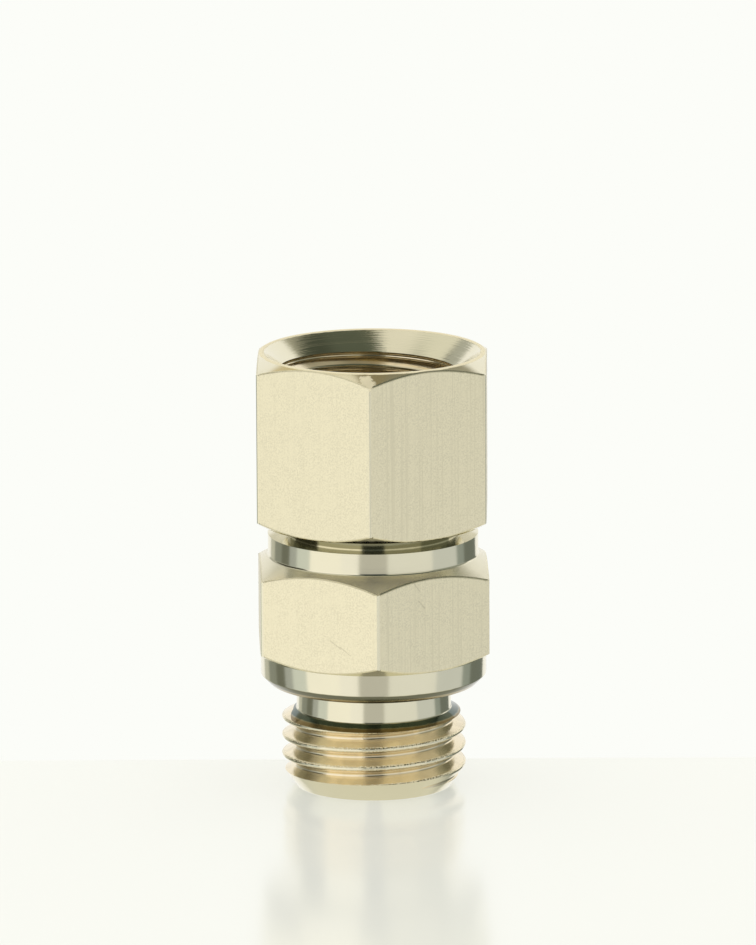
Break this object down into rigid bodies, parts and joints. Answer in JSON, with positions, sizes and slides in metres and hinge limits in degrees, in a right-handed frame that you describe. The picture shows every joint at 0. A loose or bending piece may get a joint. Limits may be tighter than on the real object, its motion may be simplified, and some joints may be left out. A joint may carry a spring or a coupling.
{
  "type": "swivel adapter fitting",
  "caption": "Straight threaded adapter for pneumatic or hydraulic lines: a male stud with a hexagon on one body and a hexagon nut with a female thread that spins on its neck.",
  "frame": {"origin": "centre of the stud's end face, on which the fitting stands", "axes": "+Z along the axis of the fitting, from the stud's end face to the nut's mouth; -Y towards the corner of the hexagons that faces the viewer in the picture"},
  "size_m": [0.0162, 0.0184, 0.0311],
  "materials": {
    "body_plate": "nickel plated over brass, turned faces bright, hexagon flats drawn and satin",
    "nut_plate": "nickel plated over brass, flats satin with fine grain, mouth turned, one corner worn to a golden tone",
    "ring_wire": "drawn spring wire",
    "seal_rubber": "black nitrile rubber, matt"
  },
  "bodies": {
    "stud": {"stud_body": "body_plate", "retaining_ring": "ring_wire", "nose_seal": "seal_rubber"},
    "nut": {"swivel_nut": "nut_plate"}
  },
  "joints": [
    {"name": "nut_swivel", "type": "hinge", "parent": "stud", "child": "nut", "pos_m": [0, 0, 0.0206], "axis": [0, 0, 1], "continuous": true}
  ]
}
